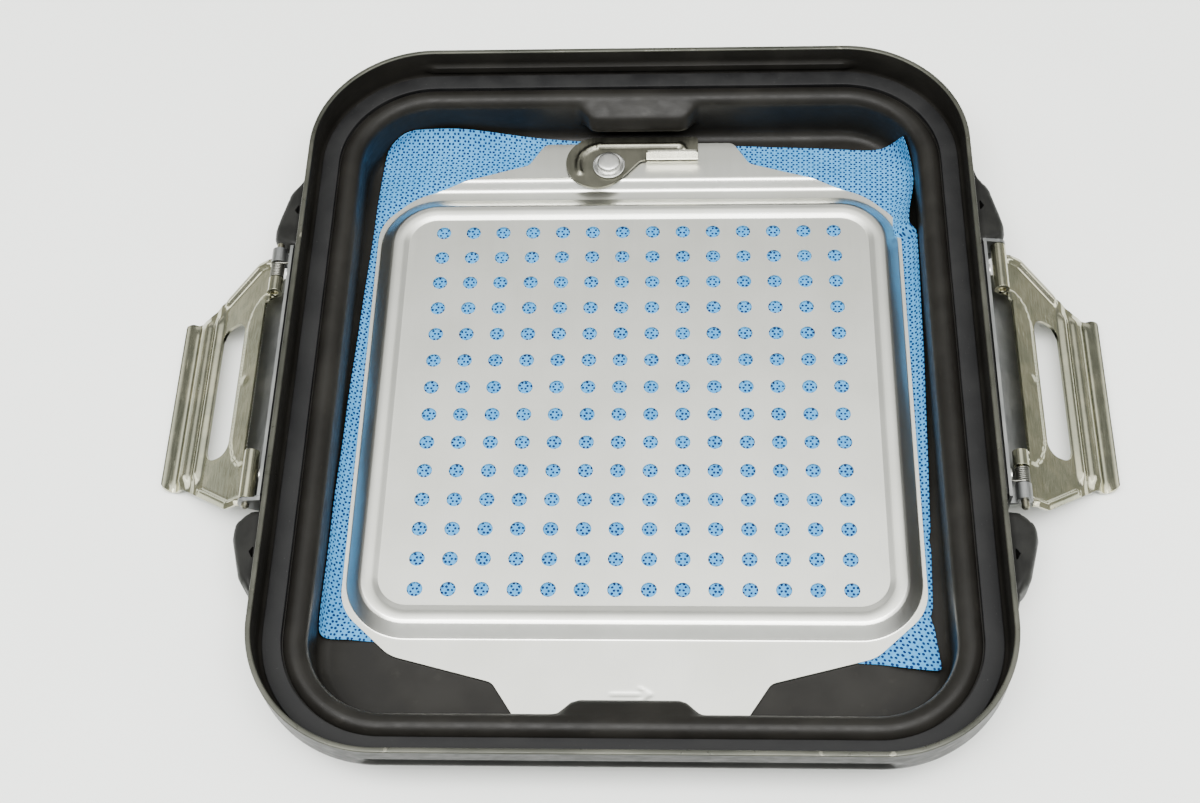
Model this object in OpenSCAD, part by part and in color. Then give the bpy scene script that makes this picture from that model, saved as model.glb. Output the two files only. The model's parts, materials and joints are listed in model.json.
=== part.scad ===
// Sterilization container lid lying inside-up, with filter sheet, retention
// plate, cam lever and two side latches. Units are millimetres. Z is up, the
// origin is under the centre of the lid, on the plane it lies on.

/* [Lid] */
// Lid width across the skirt, X
lid_w = 275; // [240:1:310]
// Lid length across the skirt, Y
lid_l = 315; // [280:1:350]
// Height from the outer top face to the rim
lid_h = 37.5; // [32:0.5:45]
// Outer corner radius of the skirt
corner_r = 50; // [44:1:56]
// Lid sheet thickness
shell_t = 2; // [1.5:0.1:2.5]
// Distance from the skirt's outer face to the inner wall's face
wall_in = 20; // [18:0.5:24]
// Height of the gasket channel's top face
channel_z = 22.5; // [20:0.5:25]
// Height of the bead's crest
bead_z = 25.7; // [24:0.1:27]
// Bend radius at the foot of the inner wall
foot_r = 6.5; // [4:0.5:9]
// Height of the floor's raised field under the filter
floor_rise = 2.6; // [1.5:0.1:2.8]
// Gasket thickness
gasket_t = 2; // [1.5:0.1:3]
// Depth of the long grooves in the near and far skirt
groove_depth = 1.3; // [0.8:0.1:1.8]
// Length of those grooves
groove_len = 180; // [140:5:210]

/* [Holding bosses] */
// Half width of a boss at its face
boss_face_w = 19.5; // [15:0.5:24]
// Half width of a boss at the wall
boss_foot_w = 27; // [22:0.5:32]
// How far a boss stands out from the inner wall
boss_out = 7.5; // [5:0.5:9]
// Height of a boss's lower edge
boss_z = 14; // [12.5:0.5:16]

/* [Perforation] */
// Holes in a row
hole_count = 14; // [8:1:18]
// Distance between holes
hole_pitch = 12.7; // [10:0.1:16]
// Hole diameter
hole_d = 6.1; // [3:0.1:7]

/* [Retention plate] */
// Plate sheet thickness
plate_t = 0.8; // [0.6:0.1:1.2]
// Half width of the perforated field, X
field_w = 97; // [90:0.5:104]
// Half length of the perforated field, Y
field_l = 89.3; // [84:0.1:96]
// Corner radius of the field
field_r = 12; // [8:1:16]
// Height of the field's top face
field_z = 6.5; // [5.5:0.1:8]
// Height of the flange's top face
flange_z = 3.5; // [3.3:0.1:4]
// Height of the far tab's top face
tab_z = 7; // [6:0.1:7.1]

/* [Lever] */
// Lever pivot, X
lever_x = -12.8; // [-16:0.1:-10]
// Lever pivot, Y
lever_y = 115.7; // [112:0.1:118]
// Lever thickness
lever_t = 1.2; // [1:0.1:1.5]
// Rivet shank radius
rivet_r = 2.45; // [2:0.05:3]

/* [Filter] */
// Filter width
filter_w = 223; // [200:1:223]
// Filter length
filter_l = 232; // [200:1:232]

/* [Latches] */
// Hinge axis distance from the centre plane
hinge_x = 145.2; // [144:0.1:148]
// Hinge axis height
hinge_z = 30.5; // [28:0.5:33]
// How far an open latch slopes below level, degrees
open_angle = 36; // [30:1:38]
// Latch sheet thickness
latch_t = 1.2; // [1:0.1:1.6]
// Knuckle radius
knuckle_r = 3; // [2.6:0.1:3.4]
// Hinge pin radius
pin_r = 1.5; // [1.2:0.05:1.8]
// Finger slot length
slot_len = 62; // [40:1:66]
// Finger slot width
slot_w = 13.5; // [9:0.5:14]

/* [Hidden] */
$fn = 48;
// Running clearance of pins and rivets, and how far joined solids run into
// each other
run_gap = 0.05;
eps = 0.01;
cx = lid_w / 2 - corner_r;
cy = lid_l / 2 - corner_r;
floor_r = corner_r - wall_in - foot_r + shell_t / 2;
skirt_in = lid_w / 2 - shell_t;
channel_r = 3;
bead_r = 4.6;
bead_x = corner_r - wall_in + bead_r;
groove_z = 27.6;
groove_h = 5.2;
pad_out = 1.5;
pad_low = 16;
pad_high = 34;
plate_cx = field_w - field_r;
plate_cy = field_l - field_r;
rise_in = field_r - 1;
rise_out = rise_in + 5;
wall_foot = field_r + 12.7;
lever_z = tab_z + 0.7;
arm_near = 3.4;
arm_end = 38.4;
seat_r = 6;
seat_h = 0.6;
filter_t = 0.4;
filter_y = 15.4;
leg_in = lid_w / 2 + pad_out;
leg_out = leg_in + latch_t;
leg_top = hinge_z + 4.1;
leg_low = 19;
web_out = 11.4;
rivet_y = 46;
rivet_z = 29.4;
knuckle_in = 36.5;
web_y = 50;
knuckle_out = 57;
spring_y0 = 43.4;
spring_y1 = 50.1;
plate_n = -knuckle_r;

// A bend of a sheet's centre line at p, coming from a and going to b.
function unit(v) = v / norm(v);
function cross2(u, v) = u[0] * v[1] - u[1] * v[0];
function turn(u, v) = atan2(cross2(u, v), u * v);
function heading(u) = atan2(u[1], u[0]);
function bend(a, p, b, r, steps) =
    let (u = unit(p - a), v = unit(b - p), w = turn(u, v), s = sign(w))
    let (cut = r * tan(abs(w) / 2), start = p - u * cut)
    let (c = start + s * r * [-u[1], u[0]])
    [for (i = [0:steps])
        let (h = heading(u) + w * i / steps)
        [c + s * r * [sin(h), -cos(h)], [-sin(h), cos(h)]]];

// Centre-line points with their normals, each inner corner rounded.
function trace(path, radii, steps) =
    let (last = len(path) - 1)
    let (h0 = heading(path[1] - path[0]), h1 = heading(path[last] - path[last - 1]))
    concat(
        [[path[0], [-sin(h0), cos(h0)]]],
        [for (i = [1:last - 1])
            each bend(path[i - 1], path[i], path[i + 1], radii[i - 1], steps)],
        [[path[last], [-sin(h1), cos(h1)]]]);

// The section of a sheet of thickness t along a path.
module sheet_section(path, radii, t, steps = 6) {
    line = trace(path, radii, steps);
    count = len(line);
    polygon(concat(
        [for (i = [0:count - 1]) line[i][0] + line[i][1] * t / 2],
        [for (i = [count - 1:-1:0]) line[i][0] - line[i][1] * t / 2]));
}

module rounded_rect(half_x, half_y, r) {
    difference() {
        square([2 * half_x, 2 * half_y], center = true);
        for (sx = [-1, 1], sy = [-1, 1]) {
            translate([sx * (half_x - r), sy * (half_y - r)]) {
                difference() {
                    translate([sx * r, sy * r]) square(2 * r, center = true);
                    circle(r);
                }
            }
        }
    }
}

// Sweeps a section round a rectangle with rounded corners. The section's X is
// the distance from the corner centre, and its Y is the height.
module sweep_round(half_x, half_y) {
    for (q = [0, 1, 2, 3]) {
        sx = (q == 0 || q == 3) ? 1 : -1;
        sy = (q == 0 || q == 1) ? 1 : -1;
        translate([sx * half_x, sy * half_y, 0])
            rotate([0, 0, q * 90]) rotate_extrude(angle = 90) children();
    }
    for (s = [0, 180]) {
        rotate([0, 0, s]) translate([half_x, half_y, 0])
            rotate([90, 0, 0]) linear_extrude(2 * half_y) children();
        rotate([0, 0, s + 90]) translate([half_y, half_x, 0])
            rotate([90, 0, 0]) linear_extrude(2 * half_x) children();
    }
}

// Extrudes a section in the Y-Z plane along X, centred.
module along_x(len_x) {
    rotate([90, 0, 90]) translate([0, 0, -len_x / 2]) linear_extrude(len_x) children();
}

module hole_grid() {
    first = -hole_pitch * (hole_count - 1) / 2;
    for (i = [0:hole_count - 1], j = [0:hole_count - 1]) {
        translate([first + i * hole_pitch, first + j * hole_pitch]) circle(d = hole_d);
    }
}

module both_ends() {
    children();
    rotate([0, 0, 180]) children();
}

module both_sides() {
    children();
    mirror([1, 0, 0]) children();
}

/* Lid shell */

module shell_section() {
    half = shell_t / 2;
    wall_x = corner_r - wall_in + half;
    crest = bead_z - half;
    far_x = bead_x + bead_r - half;
    base = channel_z - half;
    skirt_x = corner_r - half;
    bead_bend = bead_r - half - eps;
    sheet_section(
        [[floor_r, half], [wall_x, half], [wall_x, crest], [far_x, crest],
            [far_x, base], [skirt_x, base], [skirt_x, lid_h]],
        [foot_r - half - eps, bead_bend, bead_bend, 0.9, channel_r], shell_t);
}

// The ramp round the floor's raised field, up off the sheet's centre line.
module ramp_section(up, t) {
    half = shell_t / 2;
    slope = atan(floor_rise / (rise_out - rise_in - 1));
    shift = up * tan(slope / 2);
    sheet_section(
        [[rise_in - 1, floor_rise + half + up], [rise_in + 0.5 + shift, floor_rise + half + up],
            [rise_out - 0.5 + shift, half + up], [rise_out + 1.5, half + up]],
        [1.6 + up, 1.6 - up], t);
}

// A flat sheet's two levels, inside the ramp and outside it.
module two_levels(z, t) {
    top_r = rise_in - 1 + eps;
    low_r = rise_out + 1.5 - eps;
    translate([0, 0, z + floor_rise]) linear_extrude(t)
        rounded_rect(plate_cx + top_r, plate_cy + top_r, top_r);
    translate([0, 0, z]) linear_extrude(t) difference() {
        children();
        rounded_rect(plate_cx + low_r, plate_cy + low_r, low_r);
    }
}

// The boss's form; grow makes the outer skin, 0 the hollow behind it.
module boss_form(grow) {
    wall_y = lid_l / 2 - wall_in;
    face_y = wall_y - boss_out + shell_t - grow;
    back_y = wall_y + shell_t + 0.5;
    low = boss_z + shell_t - grow;
    face_w = boss_face_w - shell_t + grow;
    foot_w = boss_foot_w - shell_t + grow;
    intersection() {
        along_x(2 * foot_w + 2) polygon([
            [back_y, low - 3.4], [face_y + 3.2, low - 2.2], [face_y + 0.9, low - 0.7],
            [face_y, low + 0.8], [face_y + 0.2, low + 2.6], [face_y + 2.2, low + 5.2 + grow],
            [wall_y + 0.5 - grow / 2, low + 7.4 + grow], [back_y, low + 7.8 + grow]]);
        linear_extrude(lid_h) polygon([
            [-foot_w, back_y], [-foot_w + 1.5, wall_y + 0.8 - grow / 2],
            [-face_w - 1.2, face_y + 1.0], [-face_w + 1.5, face_y],
            [face_w - 1.5, face_y], [face_w + 1.2, face_y + 1.0],
            [foot_w - 1.5, wall_y + 0.8 - grow / 2], [foot_w, back_y]]);
    }
}

// A long slot with round ends, from Y 0 to Y -deep.
module groove_form(deep, high) {
    rotate([90, 0, 0]) linear_extrude(deep) {
        translate([-groove_len / 2, 0]) circle(high / 2);
        translate([groove_len / 2, 0]) circle(high / 2);
        square([groove_len, high], center = true);
    }
}

module lid_shell() {
    skirt_y = lid_l / 2;
    behind_y = skirt_y - shell_t - groove_depth;
    pad_h = pad_high - pad_low;
    color([0.16, 0.15, 0.14]) difference() {
        union() {
            sweep_round(cx, cy) shell_section();
            two_levels(0, shell_t)
                rounded_rect(cx + floor_r + eps, cy + floor_r + eps, floor_r);
            sweep_round(plate_cx, plate_cy) ramp_section(0, shell_t);
            both_ends() boss_form(shell_t);
            both_ends() translate([0, behind_y + shell_t, groove_z])
                groove_form(shell_t, groove_h + 1.2);
            for (s = [-1, 1]) {
                translate([s * (leg_in - pad_out / 2 - eps), 0, pad_low + pad_h / 2])
                    cube([pad_out + 2 * eps, 2 * knuckle_out - 2, pad_h], center = true);
            }
        }
        linear_extrude(2 * shell_t + floor_rise) hole_grid();
        both_ends() boss_form(0);
        both_ends() translate([0, skirt_y + 1, groove_z])
            groove_form(groove_depth + 1, groove_h);
        both_ends() rivet_row(pin_r + run_gap, skirt_in - 1, shell_t + pad_out + 2);
    }
}

module rim_gasket() {
    inner = bead_x + bead_r + 0.35;
    outer = corner_r - shell_t - groove_depth - 0.2;
    top = channel_z + gasket_t;
    edge = 0.3;
    color([0.12, 0.12, 0.13]) sweep_round(cx, cy) polygon([
        [inner, channel_z], [outer - edge, channel_z], [outer, channel_z + edge],
        [outer, top - edge], [outer - edge, top], [inner + edge, top],
        [inner, top - edge]]);
}

module filter_sheet() {
    lift = shell_t + 0.02;
    color([0.45, 0.7, 0.88]) union() {
        two_levels(lift, filter_t) translate([0, filter_y])
            rounded_rect(filter_w / 2, filter_l / 2, 24);
        sweep_round(plate_cx, plate_cy)
            ramp_section(lift + (filter_t - shell_t) / 2, filter_t);
    }
}

/* Retention plate */

module dome_section() {
    half = plate_t / 2;
    sheet_section(
        [[field_r - 1, field_z - half], [field_r + 0.1, field_z - half],
            [field_r + 2, field_z + 0.8 - half], [field_r + 8, field_z + 0.8 - half],
            [wall_foot - 0.7, flange_z - half], [wall_foot + 0.9, flange_z - half]],
        [0.8, 0.8, 2, 1.2], plate_t, 5);
}

// The plate's outline, near and far sides together.
module plate_outline() {
    right = [[111, -84], [109.5, -89], [104.5, -95.5], [94, -105.2], [86.4, -109.4],
        [54.5, -117.8], [51.5, -119], [49.5, -121.4], [44, -130], [42.5, -133],
        [41, -134]];
    far = [[37, 129.3], [40.5, 128.3], [42.8, 126], [46, 120.6], [48.4, 118.3],
        [52, 117], [73, 110.6], [84, 107.6], [93, 104], [97.5, 102], [108, 92.2],
        [110.4, 88], [111, 84]];
    polygon(concat(
        [for (i = [len(right) - 1:-1:0]) right[i]],
        [for (i = [len(far) - 1:-1:0]) far[i]],
        [for (p = far) [-p[0], p[1]]],
        [for (p = right) [-p[0], p[1]]]));
}

module joggle_section() {
    half = plate_t / 2;
    sheet_section(
        [[104.5, flange_z - half], [106.4, flange_z - half], [109.6, tab_z - half],
            [129.3, tab_z - half]],
        [1.2, 1.2], plate_t, 5);
}

module arrow_mark() {
    translate([0, -123]) {
        polygon([[-7, -0.6], [3, -0.6], [3, -2.6], [8, 0], [3, 2.6], [3, 0.6], [-7, 0.6]]);
    }
}

module retention_plate() {
    joggle_from = 104.6;
    inside_r = wall_foot + 0.8;
    color([0.8, 0.81, 0.8]) difference() {
        union() {
            translate([0, 0, field_z - plate_t]) linear_extrude(plate_t)
                difference() {
                    rounded_rect(field_w - 1 + eps, field_l - 1 + eps, field_r - 1);
                    hole_grid();
                }
            sweep_round(plate_cx, plate_cy) dome_section();
            translate([0, 0, flange_z - plate_t]) linear_extrude(plate_t)
                difference() {
                    intersection() {
                        plate_outline();
                        translate([-lid_w / 2, joggle_from - lid_l]) square([lid_w, lid_l]);
                    }
                    rounded_rect(plate_cx + inside_r, plate_cy + inside_r, inside_r);
                }
            intersection() {
                along_x(240) joggle_section();
                linear_extrude(lid_h) plate_outline();
            }
            translate([lever_x, lever_y, tab_z - eps]) cylinder(h = seat_h + eps, r = seat_r);
        }
        translate([lever_x, lever_y, 0]) cylinder(h = lid_h, r = rivet_r + run_gap);
        translate([0, 0, flange_z - 0.2]) linear_extrude(1) arrow_mark();
    }
}

/* Lock lever */

// A round cam head, off the pivot, and the arm that runs from it along X.
module lever_outline() {
    head_r = 13.5;
    head = [-5.2, 2.3];
    translate(head) circle(head_r);
    polygon([[head[0], head[1] + head_r], [head[0] + 9.6, head[1] - 9.4],
        [14.4, arm_near], [arm_end, arm_near], [arm_end, head[1] + head_r - 1],
        [arm_end - 1, head[1] + head_r]]);
}

// The rib runs round the rivet's left side, along the arm and down its end.
module lever_rib() {
    half = 1.3;
    mid_r = 10.3;
    middle = [-3, 1];
    end_x = 33;
    end_len = 2.4;
    round_from = -4.4;
    translate(middle) {
        difference() {
            union() {
                circle(mid_r + half);
                translate([0, mid_r - half]) square([end_x, 2 * half]);
            }
            circle(mid_r - half);
            translate([0, -2 * mid_r]) square([end_x + 1, 3 * mid_r - half]);
            translate([-2 * mid_r, round_from - 2 * mid_r]) square([3 * mid_r, 2 * mid_r]);
        }
        translate([end_x, mid_r - end_len]) circle(half);
        translate([end_x - half, mid_r - end_len]) square([2 * half, end_len + half]);
    }
}

module lock_lever() {
    tab_h = 5.4;
    tab_len = 22.2;
    tab_bevel = 0.8;
    rib_h = 0.6;
    color([0.42, 0.4, 0.35]) translate([lever_x, lever_y, lever_z]) difference() {
        union() {
            linear_extrude(lever_t) lever_outline();
            translate([0, 0, lever_t - eps]) linear_extrude(rib_h) lever_rib();
            translate([arm_end - tab_len, arm_near + lever_t, lever_t - eps])
                rotate([90, 0, 0]) linear_extrude(lever_t) polygon([[0, 0], [tab_len, 0],
                    [tab_len, tab_h - tab_bevel], [tab_len - tab_bevel, tab_h],
                    [tab_bevel, tab_h], [0, tab_h - tab_bevel]]);
        }
        translate([0, 0, -1]) cylinder(h = 4, r = rivet_r + run_gap);
    }
}

module lock_washer() {
    color([0.78, 0.78, 0.76]) translate([lever_x, lever_y, lever_z + lever_t + 0.1])
        rotate_extrude() polygon([[rivet_r + run_gap, 0], [5.4, 0], [6.9, 0.5],
            [6.9, 1], [5.2, 0.7], [rivet_r + run_gap, 0.7]]);
}

module lock_rivet() {
    head_r = 5;
    head_h = 3.3;
    tail_r = 4.3;
    head_z = lever_z + lever_t + 0.8;
    under_z = tab_z - plate_t;
    color([0.66, 0.65, 0.62]) translate([lever_x, lever_y, 0]) rotate_extrude() polygon([
        [0, under_z - 1], [tail_r - 0.9, under_z - 1], [tail_r, under_z - 0.4],
        [tail_r, under_z], [rivet_r, under_z], [rivet_r, head_z], [head_r, head_z],
        [head_r, head_z + head_h - 1], [head_r - 0.4, head_z + head_h - 0.4],
        [head_r - 1.4, head_z + head_h - 0.1], [0, head_z + head_h]]);
}

/* Latches: drawn on the right, turned half round for the left */

module latch_frame() {
    translate([hinge_x, 0, hinge_z]) rotate([0, open_angle, 0]) children();
}

module latch_outline() {
    far = [[4.6, 34.5], [4.6, 55.6], [5.6, 56.4], [13, 56.6], [14.4, 56], [40.5, 40.4],
        [42.5, 39.7], [46, 39.5], [48.2, 38.7], [49.6, 37], [50.2, 34.8]];
    polygon(concat(
        [for (p = far) p],
        [for (i = [len(far) - 1:-1:0]) [far[i][0], -far[i][1]]]));
}

module latch_slot() {
    slot_s = 24.5;
    translate([slot_s, 0]) rounded_rect(slot_w / 2, slot_len / 2, slot_w / 2 - 1);
}

module panel_outline(grow) {
    polygon([[6.4 - grow, -39 - grow], [10.4, -37.6 - grow], [14.4 + grow, -32.6],
        [16.2 + grow, -27], [16.2 + grow, 27], [14.4 + grow, 32.6],
        [10.4, 37.6 + grow], [6.4 - grow, 39 + grow]]);
}

// Raised border along a slanted edge.
module border_outline() {
    polygon([[15, 55.7], [40.5, 40.4], [39.5, 36.9], [13.6, 52.4], [6, 52.2], [5.6, 56.4],
        [13, 56.6]]);
}

module flap_section() {
    half = latch_t / 2;
    mid = plate_n + half;
    sheet_section(
        [[30.5, mid], [32, mid], [33.6, mid + 2.2], [35.6, mid + 2.2], [37.2, mid + 0.7],
            [38.6, mid + 0.7], [40.2, mid + 2.8], [42.8, mid + 2.8], [45.8, mid + 0.9],
            [48.3, mid + 0.9], [49.6, mid + 4.3]],
        [1, 1, 1, 1, 1, 1.2, 1.2, 0.9, 0.9], latch_t, 4);
}

module knuckle(y0, y1) {
    bore = pin_r + run_gap;
    translate([0, y0, 0]) rotate([-90, 0, 0]) difference() {
        cylinder(h = y1 - y0, r = knuckle_r);
        translate([0, 0, -1]) cylinder(h = y1 - y0 + 2, r = bore);
    }
}

module knuckle_strip(y0, y1) {
    difference() {
        translate([0, y0, plate_n]) cube([5.2, y1 - y0, latch_t]);
        translate([0, y0 - 1, 0]) rotate([-90, 0, 0]) cylinder(h = y1 - y0 + 2, r = pin_r + 0.1);
    }
}

module latch() {
    flap_from = 31;
    panel_h = 0.8;
    border_h = 1.3;
    mid_n = plate_n + latch_t / 2;
    color([0.62, 0.6, 0.52]) latch_frame() {
        difference() {
            union() {
                translate([0, 0, plate_n]) linear_extrude(latch_t) intersection() {
                    latch_outline();
                    translate([0, -knuckle_out]) square([flap_from, 2 * knuckle_out]);
                }
                translate([0, 0, mid_n]) linear_extrude(latch_t / 2 + panel_h)
                    panel_outline(0);
                for (s = [-1, 1]) {
                    translate([0, 0, mid_n]) scale([1, s, 1])
                        linear_extrude(latch_t / 2 + border_h) border_outline();
                }
                intersection() {
                    translate([0, knuckle_out, 0]) rotate([90, 0, 0])
                        linear_extrude(2 * knuckle_out) flap_section();
                    translate([0, 0, -10]) linear_extrude(20) latch_outline();
                }
            }
            translate([0, 0, -10]) linear_extrude(20) latch_slot();
            translate([0, 0, plate_n - 1]) linear_extrude(1.7) panel_outline(-1.2);
            translate([3, -knuckle_out - 1, -8])
                cube([2.6, knuckle_out + 1 - spring_y0 + 0.2, 10]);
            translate([4, -34.6, -8]) cube([1.8, 69.2, 10]);
        }
        knuckle(-spring_y0 + 0.4, -knuckle_in);
        knuckle_strip(-spring_y0 + 0.4, -knuckle_in);
        knuckle(knuckle_in, knuckle_out);
        knuckle_strip(knuckle_in, knuckle_out);
    }
}

module rivet_row(r, x0, len_x) {
    for (y = [-rivet_y, rivet_y]) {
        translate([x0, y, rivet_z]) rotate([0, 90, 0]) cylinder(h = len_x, r = r);
    }
}

module bracket_section() {
    half = latch_t / 2;
    mid = leg_in + half;
    sheet_section(
        [[mid, leg_top], [mid, leg_low + 2.5], [mid + web_out, leg_low - 1.4]], [2], latch_t, 6);
}

module bracket() {
    ear_y = knuckle_out + 0.4;
    ear_t = 1.4;
    color([0.6, 0.59, 0.55]) difference() {
        union() {
            translate([0, web_y, 0]) rotate([90, 0, 0]) linear_extrude(2 * web_y)
                bracket_section();
            translate([leg_in, -knuckle_out, leg_low])
                cube([latch_t, 2 * knuckle_out, leg_top - leg_low]);
            translate([0, ear_y + ear_t, 0]) rotate([90, 0, 0]) linear_extrude(ear_t) {
                translate([hinge_x, hinge_z]) circle(knuckle_r);
                polygon([[leg_in, hinge_z - 7], [hinge_x + 1.2, hinge_z - 2.75],
                    [hinge_x + 1.2, hinge_z + 2.75], [leg_in, hinge_z + 3.6]]);
            }
            translate([leg_in, knuckle_out - eps, hinge_z - 7])
                cube([latch_t, ear_t + 0.4 + eps, 10.6]);
            translate([hinge_x, 0, hinge_z]) knuckle(-knuckle_out, -spring_y1 - 0.4);
            translate([leg_out - eps, -knuckle_out, hinge_z - knuckle_r])
                cube([hinge_x - leg_out, knuckle_out - spring_y1 - 0.4, latch_t]);
        }
        translate([hinge_x, 0, hinge_z]) rotate([90, 0, 0])
            cylinder(h = 140, r = pin_r, center = true);
        rivet_row(pin_r + run_gap, leg_in - 1, latch_t + 2);
    }
}

module bracket_rivets() {
    head = 1;
    color([0.7, 0.7, 0.67]) {
        rivet_row(pin_r, skirt_in, leg_out - skirt_in + head / 2);
        rivet_row(2.8, leg_out, head);
    }
}

module plain_pin() {
    pin_solid(knuckle_in + 1, knuckle_out + 3.4);
}

module spring_pin() {
    mirror([0, 1, 0]) pin_solid(knuckle_in + 1, knuckle_out + 3.4);
}

module pin_solid(y0, y1) {
    tip = 0.6;
    color([0.75, 0.74, 0.7]) translate([hinge_x, y0, hinge_z]) rotate([-90, 0, 0])
        rotate_extrude() polygon([[0, 0], [pin_r - 0.3, 0], [pin_r, 0.3],
            [pin_r, y1 - y0 - tip], [pin_r - tip, y1 - y0], [0, y1 - y0]]);
}

module spring() {
    wire = 0.45;
    coil_r = 2.5;
    coils = 8;
    pitch = (spring_y1 - spring_y0 - 2 * wire) / (coils - 1);
    color([0.5, 0.5, 0.48]) {
        translate([hinge_x, -spring_y0 - wire, hinge_z]) rotate([90, 0, 0])
            rotate_extrude() polygon(concat(
                [[coil_r, -wire]],
                [for (i = [0:coils - 1], a = [-50:50:50])
                    [coil_r + wire * cos(a), i * pitch + wire * sin(a)]],
                [[coil_r, (coils - 1) * pitch + wire]],
                [for (i = [coils - 1:-1:0], a = [50:-50:-50])
                    [coil_r - wire * cos(a), i * pitch + wire * sin(a)]]));
        translate([hinge_x + 0.5, -spring_y1 + 0.62, hinge_z + coil_r - 0.07])
            rotate([0, -90, 0])
                cylinder(h = hinge_x - leg_out + 0.48, r = wire - 0.07);
    }
}

/* Guards */

module guard() {
    low = 15;
    high = 31;
    x0 = lid_w / 2;
    color([0.26, 0.26, 0.26]) difference() {
        translate([0, 0, low]) linear_extrude(high - low) polygon([
            [x0, 59.9], [x0 + 4.6, 60.6], [x0 + 8, 62.2], [x0 + 10.6, 65],
            [x0 + 12, 69.4], [x0 + 11.4, 74], [x0 + 9.6, 81], [x0 + 7.4, 87.4],
            [x0 + 5.4, 90.6], [x0 + 3.4, 93.4], [x0 + 2, 97.4], [x0 + 0.8, 103],
            [x0, 105.6]]);
        translate([0, 0, low - 1]) linear_extrude(high - low - 1.4) polygon([
            [x0 + 2, 64], [x0 + 6.4, 65], [x0 + 9.4, 70], [x0 + 7.2, 80],
            [x0 + 4, 87.4], [x0 + 2, 90]]);
        translate([0, 0, low - 1]) linear_extrude(high) polygon([
            [x0 + 1.2, 75.4], [x0 + 3.2, 77.2], [x0 + 1.2, 80.6]]);
    }
}

lid_shell();
rim_gasket();
filter_sheet();
retention_plate();
lock_lever();
lock_rivet();
lock_washer();
rotate([0, 0, 180]) latch();  // left_latch
latch();  // right_latch
rotate([0, 0, 180]) bracket();  // left_bracket
bracket();  // right_bracket
rotate([0, 0, 180]) bracket_rivets();  // left_rivets
bracket_rivets();  // right_rivets
rotate([0, 0, 180]) spring_pin();  // left_far_pin
rotate([0, 0, 180]) plain_pin();  // left_near_pin
plain_pin();  // right_far_pin
spring_pin();  // right_near_pin
rotate([0, 0, 180]) spring();  // left_spring
spring();  // right_spring
mirror([1, 0, 0]) guard();  // left_far_guard
rotate([0, 0, 180]) guard();  // left_near_guard
guard();  // right_far_guard
mirror([0, 1, 0]) guard();  // right_near_guard
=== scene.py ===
"""The looks of a sterilization container lid, lying inside-up on a pale table.

Every length in this script is in millimetres until make_piece() turns it into
metres. X runs across the two latches, Y runs to the end with the cam lever,
and heights are above the table, as in the CAD frame.
"""
import json
import math

import bmesh
import bpy
import numpy as np
from mathutils import Matrix, Vector
from mathutils.geometry import delaunay_2d_cdt


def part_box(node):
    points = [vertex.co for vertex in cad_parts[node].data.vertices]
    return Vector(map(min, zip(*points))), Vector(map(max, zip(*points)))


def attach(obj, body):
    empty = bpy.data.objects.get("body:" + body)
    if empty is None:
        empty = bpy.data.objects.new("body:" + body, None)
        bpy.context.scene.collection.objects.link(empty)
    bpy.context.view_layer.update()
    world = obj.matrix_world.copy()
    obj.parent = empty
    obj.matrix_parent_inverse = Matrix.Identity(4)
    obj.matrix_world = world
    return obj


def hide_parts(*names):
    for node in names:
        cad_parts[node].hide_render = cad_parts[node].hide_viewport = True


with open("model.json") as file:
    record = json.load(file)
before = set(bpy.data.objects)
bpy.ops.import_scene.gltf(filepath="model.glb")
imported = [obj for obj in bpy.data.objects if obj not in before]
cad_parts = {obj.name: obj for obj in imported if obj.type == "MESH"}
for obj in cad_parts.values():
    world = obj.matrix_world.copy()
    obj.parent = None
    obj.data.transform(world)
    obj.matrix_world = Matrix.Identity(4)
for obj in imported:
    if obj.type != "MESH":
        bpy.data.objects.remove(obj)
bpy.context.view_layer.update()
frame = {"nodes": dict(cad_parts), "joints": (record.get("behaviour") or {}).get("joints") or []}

MM = 0.001
SHARP_ANGLE = math.radians(38)


def node_box(node):
    """A CAD node's lowest and highest corners in millimetres."""
    low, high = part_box(node)
    return low / MM, high / MM


def joint_at(name):
    """Where a joint's axis is, in millimetres."""
    for joint in frame["joints"]:
        if joint["name"] == name:
            return Vector(joint["pos_m"]) / MM
    raise ValueError(name)


# ---- dimensions

SHELL_T = 2.0
CORNER_R = 50.0
WALL_IN = 20.0
FOOT_R = 6.5
BEAD_R = 4.6
BEAD_Z = 25.7
CHANNEL_Z = 22.5
CHANNEL_R = 3.0
PAD_OUT = 1.5
LID_H = node_box("lid_shell")[1].z
HALF_Y = node_box("lid_shell")[1].y
HALF_X = node_box("lid_shell")[1].x - PAD_OUT
CENTRE_X = HALF_X - CORNER_R
CENTRE_Y = HALF_Y - CORNER_R
FLOOR_R = CORNER_R - WALL_IN - FOOT_R + SHELL_T / 2
WALL_R = CORNER_R - WALL_IN
WALL_Y = CENTRE_Y + WALL_R

BOSS_OUT = 7.5
BOSS_ACROSS = [(18.0, 1), (20.7, 0.87), (25.5, 0.1), (27.5, 0)]
BOSS_UP = [(10.2, 0), (11.8, 0.55), (13.3, 0.88), (14.8, 1), (16.6, 0.98), (21.2, 0.72),
           (23.4, 0.1), (24.6, 0)]
GROOVE_Z = 27.6
GROOVE_H = 5.2
GROOVE_DEPTH = 1.3
GROOVE_HALF = 90.0

HOLE_COUNT = 14
HOLE_PITCH = 12.7
HOLE_R = 3.05
FLOOR_STEPS = 16
PLATE_STEPS = 24

PLATE_T = 0.8
FIELD_Z = 6.5
FIELD_R = 12.0
PLATE_CX = 85.0
PLATE_CY = 77.3
RING_RISE = 0.8
FLANGE_Z = 3.5
TAB_Z = 7.0
FLOOR_RISE = 2.6
RISE_IN = FIELD_R - 1.6
RISE_OUT = RISE_IN + 6.2

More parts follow.
